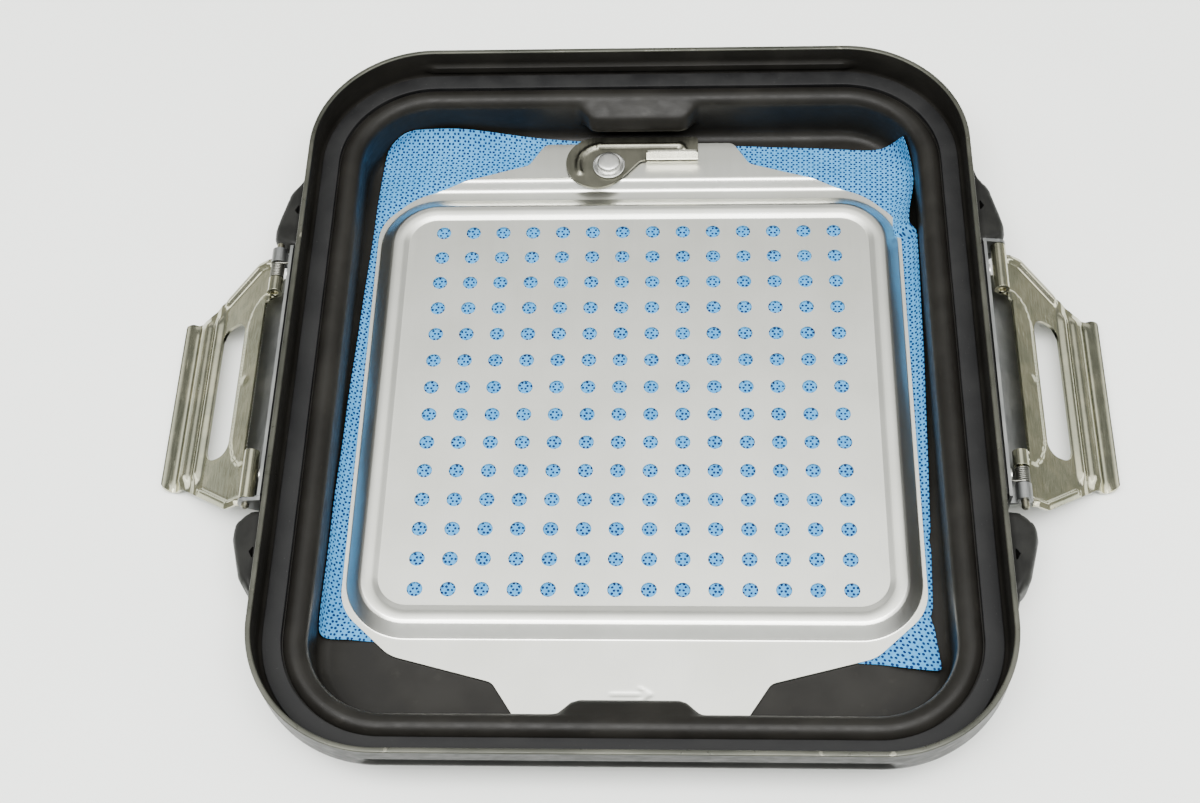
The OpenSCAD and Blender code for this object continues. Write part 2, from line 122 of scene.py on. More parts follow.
LATCH_T = 1.2
OPEN_ANGLE = math.radians(36)
KNUCKLE_R = 3.0
PIN_R = 1.5
KNUCKLE_IN = 36.5
KNUCKLE_OUT = 57.0
SPRING_Y0 = 43.4
SPRING_Y1 = 50.1


# ---- plane geometry

def bend(before, corner, after, radius, steps):
    """Points and left-hand normals along the arc that rounds a corner."""
    u = (corner - before).normalized()
    v = (after - corner).normalized()
    turn = math.atan2(u.x * v.y - u.y * v.x, u.dot(v))
    if abs(turn) < 1e-6:
        return [(corner, Vector((-u.y, u.x)))]
    side = math.copysign(1, turn)
    start = corner - u * radius * math.tan(abs(turn) / 2)
    centre = start + side * radius * Vector((-u.y, u.x))
    heading = math.atan2(u.y, u.x)
    arc = []
    for i in range(steps + 1):
        h = heading + turn * i / steps
        normal = Vector((-math.sin(h), math.cos(h)))
        arc.append((centre - side * radius * normal, normal))
    return arc


def divided(line, longest):
    """The same line with its long straight stretches cut into shorter ones."""
    out = [line[0]]
    for (p, n), (q, m) in zip(line, line[1:]):
        count = max(1, math.ceil((q - p).length / longest))
        for i in range(1, count + 1):
            out.append((p.lerp(q, i / count), n.lerp(m, i / count).normalized()))
    return out


def trace(path, radii, steps=8, longest=50.0):
    """A section's centre line with rounded corners, as points with normals."""
    path = [Vector(p) for p in path]
    line = []
    for i, radius in enumerate(radii):
        line += bend(path[i], path[i + 1], path[i + 2], radius, steps)
    line = [(path[0], line[0][1])] + line + [(path[-1], line[-1][1])]
    return divided(line, longest)


def rounded(corners, steps=6):
    """A closed outline from (x, y, radius) corners."""
    points = [Vector(c[:2]) for c in corners]
    loop = []
    for i, corner in enumerate(corners):
        after = points[(i + 1) % len(points)]
        loop += [p for p, _ in bend(points[i - 1], points[i], after, corner[2], steps)]
    return [tuple(p) for p in loop]


def mirrored(corners):
    """Corners on one side of the X axis, with their images on the other."""
    return [(x, -y, r) for x, y, r in corners] + [(x, y, r) for x, y, r in reversed(corners)]


def chopped(loop, longest):
    """The same closed loop with its long sides cut into shorter ones."""
    out = []
    for a, b in zip(loop, loop[1:] + loop[:1]):
        count = max(1, math.ceil(math.dist(a, b) / longest))
        out += [(a[0] + (b[0] - a[0]) * i / count, a[1] + (b[1] - a[1]) * i / count) for i in range(count)]
    return out


def circle(x, y, radius, count):
    angles = [2 * math.pi * i / count for i in range(count)]
    return [(x + radius * math.cos(a), y + radius * math.sin(a)) for a in angles]


def inside(points, loop):
    """Which of the points lie inside a closed loop."""
    a = np.asarray(loop, float)
    b = np.roll(a, -1, axis=0)
    x, y = points[:, 0, None], points[:, 1, None]
    crosses = (a[:, 1] > y) != (b[:, 1] > y)
    rise = np.where(b[:, 1] == a[:, 1], 1.0, b[:, 1] - a[:, 1])
    at = a[:, 0] + (y - a[:, 1]) * (b[:, 0] - a[:, 0]) / rise
    return (crosses & (x < at)).sum(axis=1) % 2 == 1


def distance(points, line, closed=True):
    """How far each point is from a line of points."""
    a = np.asarray(line, float)
    b = np.roll(a, -1, axis=0)
    if not closed:
        a, b = a[:-1], b[:-1]
    span = b - a
    length2 = np.maximum((span ** 2).sum(axis=1), 1e-12)
    rel = points[:, None, :] - a[None]
    t = np.clip((rel * span).sum(axis=2) / length2, 0, 1)
    gap = rel - t[..., None] * span
    return np.sqrt((gap ** 2).sum(axis=2)).min(axis=1)


def depth_in(points, loop):
    """Distance from the loop, positive inside it."""
    return np.where(inside(points, loop), 1, -1) * distance(points, loop)


def smooth(low, high, value):
    """0 below low and 1 above high, with a soft rise between them."""
    t = np.clip((value - low) / (high - low), 0, 1)
    return t * t * (3 - 2 * t)


def corner_distance(x, y, half_x, half_y):
    """Distance from a rectangle, negative inside it."""
    dx, dy = np.abs(x) - half_x, np.abs(y) - half_y
    both = np.hypot(np.maximum(dx, 0), np.maximum(dy, 0))
    return np.where((dx > 0) & (dy > 0), both, np.maximum(dx, dy))


def round_rectangle(half_x, half_y, radius, steps=10):
    """A closed loop at a distance from a rectangle, round its corners."""
    radius = float(radius)
    x, y = half_x + radius, half_y + radius
    return rounded([(-x, -y, radius), (x, -y, radius), (x, y, radius), (-x, y, radius)], steps)


def hole_grid(segments):
    first = -HOLE_PITCH * (HOLE_COUNT - 1) / 2
    places = [first + HOLE_PITCH * i for i in range(HOLE_COUNT)]
    return [circle(x, y, HOLE_R, segments) for x in places for y in places]


def fill(outer, holes=(), lines=(), loose=()):
    """Triangles between an outer loop and its holes, keeping lines as edges."""
    coords, edges = [], []
    for loop in [outer, *holes]:
        start = len(coords)
        coords += loop
        edges += [(start + i, start + (i + 1) % len(loop)) for i in range(len(loop))]
    for line in lines:
        start = len(coords)
        coords += line
        edges += [(start + i, start + i + 1) for i in range(len(line) - 1)]
    coords += list(loose)
    result = delaunay_2d_cdt([Vector(c) for c in coords], edges, [], 0, 1e-4)
    points = np.array([tuple(p) for p in result[0]])
    faces = np.array([tuple(f) for f in result[2]])
    middle = points[faces].mean(axis=1)
    keep = inside(middle, outer)
    for hole in holes:
        keep &= ~inside(middle, hole)
    return points, faces[keep]


ROW_STEP = 0.87
CLEARANCE = 0.6


def scatter(outer, holes, spacing, region=None):
    """Points in staggered rows that fill a loop or a region of it, clear of edges."""
    a = np.asarray(outer)
    low, high = a.min(axis=0), a.max(axis=0)
    rows = int((high[1] - low[1]) / (spacing * ROW_STEP)) + 1
    points = []
    for row in range(rows):
        y = low[1] + row * spacing * ROW_STEP
        x = low[0] + (row % 2) * spacing / 2
        while x < high[0]:
            points.append((x, y))
            x += spacing
    points = np.array(points)
    keep = inside(points, outer) & (distance(points, outer) > spacing * CLEARANCE)
    for hole in holes:
        keep &= ~inside(points, hole) & (distance(points, hole) > spacing * CLEARANCE)
    if region:
        keep &= region(points)
    return [tuple(p) for p in points[keep]]


# ---- mesh assembly

def make_piece(name, verts, faces, body, slot, materials, replaces=(), face_slots=None):
    """A smooth-shaded mesh object that rides on a body and stands for CAD nodes."""
    mesh = bpy.data.meshes.new(name)
    mesh.from_pydata([Vector(v) * MM for v in verts], [], [tuple(f) for f in faces])
    piece = bpy.data.objects.new(name, mesh)
    bpy.context.scene.collection.objects.link(piece)
    for material in materials:
        mesh.materials.append(material)
    if face_slots is not None:
        mesh.polygons.foreach_set("material_index", np.asarray(face_slots, dtype=np.int32))
    mesh.validate()
    weld(mesh)
    mesh.shade_smooth()
    mesh.set_sharp_from_angle(angle=SHARP_ANGLE)
    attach(piece, body)
    if replaces:
        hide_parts(*replaces)
    return piece


def weld(mesh):
    """Joins vertices that lie in one place and turns the faces outward."""
    work = bmesh.new()
    work.from_mesh(mesh)
    bmesh.ops.remove_doubles(work, verts=work.verts, dist=1e-6)
    bmesh.ops.recalc_face_normals(work, faces=work.faces)
    work.to_mesh(mesh)
    work.free()


def thicken(piece, thickness, edge, offset=-1):
    """Gives a one-sided sheet its thickness and softens its cut edges."""
    solid = piece.modifiers.new("sheet", "SOLIDIFY")
    solid.thickness = thickness * MM
    solid.offset = offset
    soften(piece, edge, 60)


def soften(piece, edge, angle=35):
    """Rounds every edge that is sharper than the angle."""
    round_off = piece.modifiers.new("edges", "BEVEL")
    round_off.width = edge * MM
    round_off.segments = 2
    round_off.limit_method = "ANGLE"
    round_off.angle_limit = math.radians(angle)
    round_off.harden_normals = True


def stations(half_x, half_y, corner_steps, marks_x, marks_y):
    """Places round a rounded rectangle: the corner centre line and a heading."""
    across, along = sorted(marks_x), sorted(marks_y)
    ring = []
    sides = [
        (0, [(half_x, y) for y in along], (half_x, half_y)),
        (90, [(x, half_y) for x in reversed(across)], (-half_x, half_y)),
        (180, [(-half_x, y) for y in reversed(along)], (-half_x, -half_y)),
        (270, [(x, -half_y) for x in across], (half_x, -half_y)),
    ]
    for heading, places, corner in sides:
        ring += [(*p, math.radians(heading)) for p in places]
        for i in range(1, corner_steps):
            ring.append((*corner, math.radians(heading + 90 * i / corner_steps)))
    return np.array(ring)


def ring_line(ring, radius):
    """The closed line at a distance from the stations' corner centre line."""
    return [(cx + radius * math.cos(a), cy + radius * math.sin(a)) for cx, cy, a in ring]


def sweep(section, ring, closed):
    """Carries a section of (distance, height) points round the stations."""
    section = np.array([tuple(p) for p in section])
    x = ring[:, 0, None] + section[None, :, 0] * np.cos(ring[:, 2, None])
    y = ring[:, 1, None] + section[None, :, 0] * np.sin(ring[:, 2, None])
    z = np.broadcast_to(section[None, :, 1], x.shape)
    verts = np.stack([x, y, z], axis=2)
    return verts, grid(*x.shape, closed=closed)


def lathe(profile, x, y, count=48):
    """Turns a (radius, height) profile about an upright axis."""
    verts = []
    for i in range(count):
        a = 2 * math.pi * i / count
        verts += [(x + r * math.cos(a), y + r * math.sin(a), z) for r, z in profile]
    return verts, grid(count, len(profile))


def tube(path, radius, sides=10):
    """A round wire along a list of points, with flat ends."""
    path = [Vector(p) for p in path]
    verts, faces = [], []
    side = None
    for i, p in enumerate(path):
        along = (path[min(i + 1, len(path) - 1)] - path[max(i - 1, 0)]).normalized()
        if side is None:
            side = along.orthogonal().normalized()
        side = (side - along * side.dot(along)).normalized()
        other = along.cross(side)
        for k in range(sides):
            a = 2 * math.pi * k / sides
            verts.append(p + radius * (math.cos(a) * side + math.sin(a) * other))
    for start in range(0, (len(path) - 1) * sides, sides):
        faces += band(start, start + sides, sides)
    faces.append(tuple(range(sides)))
    faces.append(tuple(range(len(verts) - sides, len(verts))))
    return verts, faces


def grid(rows, width, ring=True, closed=False):
    """Quads between neighbouring rows: the rows may form a ring, and each row a loop."""
    faces = []
    for i in range(rows if ring else rows - 1):
        j = (i + 1) % rows
        for k in range(width if closed else width - 1):
            m = (k + 1) % width
            faces.append((i * width + k, j * width + k, j * width + m, i * width + m))
    return faces


def band(low, high, count):
    """Quads between two loops of vertices that start at low and at high."""
    after = [(i + 1) % count for i in range(count)]
    return [(low + i, low + j, high + j, high + i) for i, j in enumerate(after)]


def joined(parts):
    """One list of vertices and faces from several."""
    verts, faces = [], []
    for some_verts, some_faces in parts:
        start = len(verts)
        verts += [tuple(v) for v in some_verts]
        faces += [tuple(start + i for i in f) for f in some_faces]
    return verts, faces


# ---- materials

class Shader:
    """A node material that is built up from its Principled shader."""

    def __init__(self, name, colour, metallic, roughness, gloss=0.5):
        self.material = bpy.data.materials.new(name)
        self.material.use_nodes = True
        self.tree = self.material.node_tree
        self.main = self.tree.nodes["Principled BSDF"]
        settings = {"Base Color": (*colour, 1), "Metallic": metallic, "Roughness": roughness,
                    "Specular IOR Level": gloss}
        for socket, value in settings.items():
            self.main.inputs[socket].default_value = value
        self.place = self.add("ShaderNodeTexCoord").outputs["Object"]
        self.relief = None

    def add(self, kind, **settings):
        node = self.tree.nodes.new(kind)
        for key, value in settings.items():
            setattr(node, key, value)
        return node

    def feed(self, socket, value):
        if isinstance(value, bpy.types.NodeSocket):
            self.tree.links.new(value, socket)
        elif isinstance(value, tuple) and len(value) == 3 and socket.type == "RGBA":
            socket.default_value = (*value, 1)
        else:
            socket.default_value = value

    def noise(self, size, stretch=(1, 1, 1), detail=3.0, turn=(0, 0, 0), shift=0.0):
        """Noise whose features are about size millimetres wide before stretching."""
        mapping = self.add("ShaderNodeMapping")
        self.feed(mapping.inputs["Vector"], self.place)
        mapping.inputs["Rotation"].default_value = turn
        mapping.inputs["Scale"].default_value = [1 / (size * MM * s) for s in stretch]
        mapping.inputs["Location"].default_value = (shift, shift * 1.7, shift * 0.3)
        texture = self.add("ShaderNodeTexNoise")
        self.feed(texture.inputs["Vector"], mapping.outputs["Vector"])
        texture.inputs["Scale"].default_value = 1.0
        texture.inputs["Detail"].default_value = detail
        return texture.outputs["Fac"]

    def spread(self, value, low, high, to_low=0.0, to_high=1.0):
        """Maps low..high to to_low..to_high and holds the ends."""
        node = self.add("ShaderNodeMapRange")
        node.interpolation_type = "SMOOTHSTEP"
        for socket, given in zip(node.inputs, (value, low, high, to_low, to_high)):
            self.feed(socket, given)
        return node.outputs["Result"]

    def math(self, operation, a, b=0.0):
        node = self.add("ShaderNodeMath", operation=operation)
        self.feed(node.inputs[0], a)
        self.feed(node.inputs[1], b)
        return node.outputs["Value"]

    def vector(self, operation, *values):
        """A vector math node with its first sockets filled in."""
        node = self.add("ShaderNodeVectorMath", operation=operation)
        for socket, value in zip(node.inputs, values):
            self.feed(socket, value)
        return node.outputs

    def mix(self, factor, a, b):
        node = self.add("ShaderNodeMix", data_type="RGBA")
        self.feed(node.inputs["Factor"], factor)
        self.feed(node.inputs[6], a)
        self.feed(node.inputs[7], b)
        return node.outputs[2]

    def tone(self, value, low, high, a, b):
        """Goes from one colour to another as a value goes from low to high."""
        return self.mix(self.spread(value, low, high), a, b)

    def colour(self, value):
        self.feed(self.main.inputs["Base Color"], value)

    def roughness(self, value):
        self.feed(self.main.inputs["Roughness"], value)

    def grain(self, size, depth, **settings):
        """Adds relief from noise of a given size and depth in millimetres."""
        self.bump(self.noise(size, **settings), depth)

    def bump(self, height, depth):
        """Adds relief of a given depth in millimetres."""
        node = self.add("ShaderNodeBump")
        node.inputs["Strength"].default_value = 1.0
        node.inputs["Distance"].default_value = depth * MM
        self.feed(node.inputs["Height"], height)
        if self.relief:
            self.feed(node.inputs["Normal"], self.relief)
        self.relief = node.outputs["Normal"]
        self.feed(self.main.inputs["Normal"], self.relief)


def scratches(shader, size, angle, amount):
    """Thin straight marks in one direction, 1 on a mark."""
    marks = shader.noise(size, stretch=(1, 60, 1), detail=2.0, turn=(0, 0, angle), shift=angle)
    gate = shader.noise(size * 30, detail=1.0, shift=angle + 3)
    lines = shader.spread(marks, 0.66, 0.72)
    return shader.math("MULTIPLY", lines, shader.spread(gate, 0.5, 0.62, 0.0, amount))


def anodised(name, dark, light, rough, metallic, gloss):
    """Dark anodised aluminium with a soft mottle and rubbed patches."""
    shader = Shader(name, dark, metallic, rough, gloss)
    cloud = shader.noise(22.0, detail=5.0)
    rubbed = shader.noise(5.0, stretch=(1, 1, 0.4), detail=6.0, shift=4.0)
    tone = shader.tone(cloud, 0.35, 0.7, dark, light)
    worn = shader.spread(rubbed, 0.62, 0.8, 0.0, 0.35)
    shader.colour(shader.mix(worn, tone, tuple(min(1.0, 2.2 * c) for c in light)))
    shader.roughness(shader.spread(rubbed, 0.3, 0.75, rough + 0.06, rough - 0.08))
    shader.grain(0.35, 0.012, detail=2.0)
    return shader.material


def rim_material():
    """The cut top edge of the skirt: olive grey with bright worn flecks."""
    shader = Shader("rim_edge", (0.05, 0.05, 0.042), 0.6, 0.42)
    fleck = shader.noise(1.6, stretch=(3, 3, 1), detail=6.0)
    broad = shader.noise(35.0, detail=3.0, shift=2.0)
    bare = shader.math("MULTIPLY", shader.spread(fleck, 0.64, 0.7), shader.spread(broad, 0.46, 0.6))
    tone = shader.tone(broad, 0.3, 0.7, (0.035, 0.036, 0.028), (0.07, 0.07, 0.056))
    shader.colour(shader.mix(bare, tone, (0.2, 0.195, 0.155)))
    shader.roughness(shader.spread(fleck, 0.4, 0.7, 0.45, 0.25))
    shader.grain(0.8, 0.03, detail=4.0)
    return shader.material


def rubber_material():
    """Matte charcoal silicone with lint and a faint grain."""
    shader = Shader("silicone", (0.012, 0.012, 0.013), 0.0, 0.62, gloss=0.2)
    dust = shader.noise(14.0, detail=6.0)
    speck = shader.noise(0.7, detail=2.0, shift=5.0)
    tone = shader.tone(dust, 0.35, 0.7, (0.0052, 0.0052, 0.0055), (0.0102, 0.0102, 0.0102))
    lint = shader.spread(speck, 0.74, 0.78, 0.0, 0.5)
    shader.colour(shader.mix(lint, tone, (0.09, 0.09, 0.085)))
    shader.roughness(shader.spread(dust, 0.3, 0.7, 0.55, 0.72))
    shader.grain(0.5, 0.02, detail=3.0)
    return shader.material


def satin_material():
    """Satin aluminium of the retention plate, with light handling marks."""
    shader = Shader("satin_aluminium", (0.8, 0.8, 0.78), 1.0, 0.34)
    cloud = shader.noise(30.0, detail=4.0)
    streak = shader.noise(1.1, stretch=(1, 40, 1), detail=2.0, shift=1.0)
    tone = shader.tone(cloud, 0.3, 0.7, (0.675, 0.675, 0.625), (0.735, 0.735, 0.685))
    marks = shader.math("MAXIMUM", scratches(shader, 0.35, 0.5, 0.5), scratches(shader, 0.3, -0.9, 0.45))
    shader.colour(shader.mix(marks, tone, (0.6, 0.6, 0.59)))
    shader.roughness(shader.spread(streak, 0.3, 0.7, 0.29, 0.31))
    shader.grain(0.25, 0.003, detail=2.0)
    shader.bump(marks, -0.01)
    return shader.material


def stainless(name, colour, tint, rough, wave=0.02, marked=0.2):
    """Polished stainless sheet that has gone a little warm and wavy."""
    shader = Shader(name, colour, 1.0, rough)
    patch = shader.noise(12.0, detail=4.0)
    fine = shader.noise(0.5, stretch=(1, 12, 1), detail=2.0, shift=3.0)
    shader.colour(shader.tone(patch, 0.35, 0.68, colour, tint))
    marks = scratches(shader, 0.3, 1.2, 0.6)
    rough_mix = shader.math("ADD", shader.spread(fine, 0.3, 0.7, rough - 0.04, rough + 0.05),
                            shader.math("MULTIPLY", marks, marked))
    shader.roughness(rough_mix)
    shader.grain(9.0, wave, detail=1.0, shift=6.0)
    shader.bump(marks, -0.04 * marked)
    return shader.material


def dot_distance(shader, where, cell_x, cell_y, shift):
    """Distance from the nearest point of a lattice of rectangles."""
    half = (cell_x / 2, cell_y / 2, 1)
    moved = shader.vector("ADD", where, (*shift, 0))[0]
    wrapped = shader.vector("WRAP", moved, half, tuple(-h for h in half))[0]
    flat = shader.vector("MULTIPLY", wrapped, (1, 1, 0))[0]
    return shader.vector("LENGTH", flat)["Value"]


def triangle_dots(shader, where, cell_x, cell_y):
    """Distance from the nearest point of a triangular lattice."""
    a = dot_distance(shader, where, cell_x, cell_y, (0, 0))
    b = dot_distance(shader, where, cell_x, cell_y, (cell_x / 2, cell_y / 2))
    return shader.math("MINIMUM", a, b)


def filter_material():
    """Blue non-woven with rings of six printed dots, mapped in millimetres."""
    shader = Shader("filter_nonwoven", (0.09, 0.27, 0.55), 0.0, 0.9, gloss=0.15)
    uv = shader.add("ShaderNodeUVMap", uv_map="flat_mm").outputs["UV"]
    wobble = shader.noise(3.0, detail=2.0)
    apart = 1.5
    row = apart * math.sqrt(3)
    dots = triangle_dots(shader, uv, apart, row)
    centres = triangle_dots(shader, uv, 3 * apart, row)
    radius = shader.spread(wobble, 0.3, 0.7, 0.44, 0.56)
    printed = shader.math("LESS_THAN", dots, radius)
    ring_only = shader.math("GREATER_THAN", centres, apart / 2)
    ink = shader.math("MULTIPLY", printed, ring_only)
    fibre = shader.noise(0.8, detail=5.0, shift=2.0)
    cloud = shader.noise(18.0, detail=3.0, shift=7.0)
    base = shader.tone(cloud, 0.3, 0.7, (0.03, 0.2, 0.44), (0.046, 0.24, 0.5))
    base = shader.mix(shader.spread(fibre, 0.35, 0.7, 0.0, 0.4), base, (0.085, 0.32, 0.58))
    shader.colour(shader.mix(ink, base, (0.003, 0.016, 0.07)))
    shader.bump(fibre, 0.05)
    shader.grain(6.0, 0.25, detail=3.0, shift=9.0)
    return shader.material


def guard_material():
    """Smooth dark grey coated metal, paler where it has been handled."""
    shader = Shader("guard_coat", (0.02, 0.02, 0.019), 0.0, 0.5, gloss=0.1)
    cloud = shader.noise(8.0, detail=4.0)
    shader.colour(shader.tone(cloud, 0.3, 0.7, (0.009, 0.009, 0.0084), (0.0145, 0.0145, 0.0134)))
    shader.roughness(shader.spread(cloud, 0.3, 0.7, 0.38, 0.5))
    shader.grain(0.4, 0.015, detail=3.0, shift=3.0)
    return shader.material


def table_material():
    """Pale laminate under the lid."""
    shader = Shader("table", (0.8, 0.81, 0.785), 0.0, 0.45)
    cloud = shader.noise(160.0, detail=3.0)
    shader.colour(shader.tone(cloud, 0.3, 0.7, (0.84, 0.855, 0.82), (0.87, 0.88, 0.85)))
    shader.roughness(shader.spread(cloud, 0.3, 0.7, 0.42, 0.5))
    return shader.material


INSIDE = anodised("anodised_inside", (0.0072, 0.0066, 0.0056), (0.0118, 0.011, 0.0094), 0.43, 0.0, 0.14)
OUTSIDE = anodised("anodised_outside", (0.0095, 0.0096, 0.0092), (0.017, 0.017, 0.0158), 0.42, 0.3, 0.2)
RIM = rim_material()
RUBBER = rubber_material()
SATIN = satin_material()
LATCH_STEEL = stainless("latch_steel", (0.33, 0.33, 0.25), (0.44, 0.425, 0.315), 0.17)
# The brackets' steel is painted darker than their bare steel: a painted shade for the shaded web and gap
# beside each latch.
BRACKET_STEEL_PAINTED_SHADE = stainless("bracket_steel_painted_shade", (0.2, 0.205, 0.205), (0.26, 0.265, 0.26), 0.4,
                          wave=0.004, marked=0.03)
LEVER_STEEL = stainless("lever_steel", (0.12, 0.118, 0.094), (0.17, 0.165, 0.132), 0.32)
# The finger tab is the lever's own steel, painted far lighter and creamier: a painted reflection of the
# bright surroundings it faces.
TAB_STEEL_PAINTED_REFLECTION = stainless("tab_steel_painted_reflection", (0.72, 0.7, 0.6), (0.82, 0.8, 0.7), 0.24, wave=0.01)
RIVET_STEEL = stainless("rivet_steel", (0.5, 0.5, 0.48), (0.6, 0.59, 0.56), 0.36, wave=0.01)
BRIGHT_STEEL = stainless("bright_steel", (0.7, 0.7, 0.68), (0.78, 0.77, 0.74), 0.16, wave=0.01)
PIN_STEEL = stainless("pin_steel", (0.22, 0.21, 0.16), (0.3, 0.28, 0.21), 0.3, wave=0.01)
WIRE_STEEL = stainless("wire_steel", (0.09, 0.09, 0.08), (0.14, 0.138, 0.12), 0.38, wave=0.005)
FILTER = filter_material()
GUARD = guard_material()


# ---- lid shell

def boss_reach(x, z):
    """How far the wall is pressed inward at the two holding bosses."""
    across = np.interp(np.abs(x), *zip(*BOSS_ACROSS))
    shifts = (-0.7, 0, 0.7)
    up = sum(np.interp(z + shift, *zip(*BOSS_UP)) / len(shifts) for shift in shifts)
    return BOSS_OUT * across * up


def groove_reach(x, z):
    """How far the end skirts are pressed inward along their long grooves."""
    away = np.hypot(np.maximum(np.abs(x) - GROOVE_HALF, 0), z - GROOVE_Z)
    return GROOVE_DEPTH * (1 - smooth(0.5, 1.05, away / (GROOVE_H / 2)))


def shell_section():
    """The sheet's section as one closed run: up the inside and down the outside."""
    half = SHELL_T / 2
    wall = WALL_R + half
    crest = BEAD_Z - half
    far = WALL_R + 2 * BEAD_R - half
    base = CHANNEL_Z - half
    skirt = CORNER_R - half
    line = trace([(FLOOR_R, half), (wall, half), (wall, crest), (far, crest), (far, base),
                  (skirt, base), (skirt, LID_H)],
                 [FOOT_R - half - 0.01, BEAD_R - half - 0.01, BEAD_R - half - 0.01, 0.9, CHANNEL_R],
                 steps=8, longest=0.8)
    round_r = 0.5
    last = [(p, n) for p, n in line if p.y < LID_H - round_r]
    last.append((Vector((skirt, LID_H - round_r)), Vector((-1, 0))))
    inner = [p + n * half for p, n in last]
    outer = [p - n * half for p, n in reversed(last)]
    cap = []
    for side in (-1, 1):
        centre = Vector((skirt + side * (half - round_r), LID_H - round_r))
        angles = [math.radians(a) for a in ((22.5, 45, 67.5, 90) if side < 0 else (90, 67.5, 45, 22.5))]
        cap += [centre + round_r * Vector((side * math.cos(a), math.sin(a))) for a in angles]
    return inner, cap, outer


def floor_rise(x, y):
    """How far the floor is pressed up under the plate's perforated field."""
    away = corner_distance(x, y, PLATE_CX, PLATE_CY)
    return FLOOR_RISE * (1 - smooth(RISE_IN, RISE_OUT, away))


def shell_floor(ring, z):
    """The perforated floor, joined to the sweep's first or last line."""
    loops = [round_rectangle(PLATE_CX, PLATE_CY, r) for r in np.linspace(RISE_IN, RISE_OUT, 9)]
    lines = [loop + loop[:1] for loop in loops]
    points, faces = fill(ring_line(ring, FLOOR_R), hole_grid(FLOOR_STEPS), lines)
    height = z + floor_rise(points[:, 0], points[:, 1])
    return np.column_stack([points, height]), faces


def ring_walls(loops, low, high):
    """The upright walls of a set of holes."""
    verts, faces = [], []
    for loop in loops:
        start, count = len(verts), len(loop)
        verts += [(x, y, low) for x, y in loop] + [(x, y, high) for x, y in loop]
        faces += band(start, start + count, count)
    return verts, faces


def chamfered_pad(side):
    """The flat pad that a latch bracket is riveted to."""
    half_y, low, high, edge = KNUCKLE_OUT - 1, 16.0, 34.0, 0.5
    x_in, x_out = side * (HALF_X - 0.3), side * (HALF_X + PAD_OUT)
    verts = []
    for x, cut in ((x_in, 0), (x_out - side * edge, 0), (x_out, edge)):
        y, z0, z1 = half_y - cut, low + cut, high - cut
        verts += [(x, -y, z0), (x, y, z0), (x, y, z1), (x, -y, z1)]
    return verts, [(8, 9, 10, 11), (0, 1, 2, 3)] + band(0, 4, 4) + band(4, 8, 4)


def build_shell():
    inner, cap, outer = shell_section()
    section = inner + cap + outer
    dense = list(np.arange(-29, 29.01, 0.9))
    side_x = dense + [s * x for s in (-1, 1) for x in (34, 42, 52, 62, 72, 80, 84, 86, CENTRE_X)]
    side_y = list(np.linspace(-CENTRE_Y, CENTRE_Y, 31))
    ring = stations(CENTRE_X, CENTRE_Y, 32, side_x, side_y)
    verts, faces = sweep(section, ring, closed=False)
    x, y, z = verts[..., 0], verts[..., 1], verts[..., 2]
    r = np.array([p.x for p in section])[None, :]
    end_side = np.abs(y) > WALL_Y - 9
    to_middle = -np.sign(y)
    wall = (r < WALL_R + 7) & end_side
    y += np.where(wall, to_middle * boss_reach(x, z), 0)
    skirt = (r > CORNER_R - 3) & (np.abs(y) > HALF_Y - 6)
    y += np.where(skirt, to_middle * groove_reach(x, z), 0)
    places = [face[0] % len(section) for face in faces]
    kinds = np.searchsorted([len(inner) - 1, len(inner) + len(cap)], places, side="right").tolist()
    pieces = [
        (verts.reshape(-1, 3), faces, kinds),
        (*shell_floor(ring, SHELL_T), 0),
        (*shell_floor(ring, 0), 2),
        (*ring_walls(hole_grid(FLOOR_STEPS), FLOOR_RISE, FLOOR_RISE + SHELL_T), 2),
        (*chamfered_pad(1), 2),
        (*chamfered_pad(-1), 2),
    ]
    slots = []
    for _, part_faces, kind in pieces:
        slots += kind if isinstance(kind, list) else [kind] * len(part_faces)
    all_verts, all_faces = joined([p[:2] for p in pieces])
    make_piece("lid_pressing", all_verts, all_faces, "lid", "lid_shell",
               [INSIDE, RIM, OUTSIDE], ["lid_shell"], slots)


def build_gasket():
    """A flat-topped strip with soft edges that waves very slightly."""
    low, high = node_box("rim_gasket")
    inner = WALL_R + 2 * BEAD_R + 0.35
    outer = high.x - CENTRE_X
    edge = 0.35
    corners = rounded([(inner, low.z, 0.05), (outer, low.z, 0.2), (outer, high.z, edge),
                       (inner, high.z, edge)], steps=4)
    marks_x = np.linspace(-CENTRE_X, CENTRE_X, 36)
    marks_y = np.linspace(-CENTRE_Y, CENTRE_Y, 44)
    ring = stations(CENTRE_X, CENTRE_Y, 28, marks_x, marks_y)
    verts, faces = sweep(corners, ring, closed=True)
    around = np.arange(len(ring)) / len(ring) * 2 * math.pi
    wave = 0.06 * np.sin(9 * around + 1) + 0.04 * np.sin(23 * around)
    top = verts[..., 2] > (low.z + high.z) / 2
    verts[..., 2] += np.where(top, np.minimum(wave, 0)[:, None], 0)
    make_piece("gasket_ring", verts.reshape(-1, 3), faces, "lid", "rim_gasket", [RUBBER], ["rim_gasket"])


# ---- filter

SHEET_W = 233.0
SHEET_L = 240.0
SHEET_TURN = math.radians(-2.4)
SHEET_MIDDLE = (0.2, 13.5)
SHEET_T = 0.35
EDGE_LIFTS = [(4.8, (-76, 139), (26, 9)), (4.4, (121, 128), (12, 13))]


def sheet_outline():
    """The filter's cut edge in its own flat frame: the far left corner is rounder."""
    w, l = SHEET_W / 2, SHEET_L / 2
    return chopped(rounded([(-w, -l, 6), (w, -l, 1.5), (w, l, 1.5), (-w, l, 12)], steps=8), 2.0)


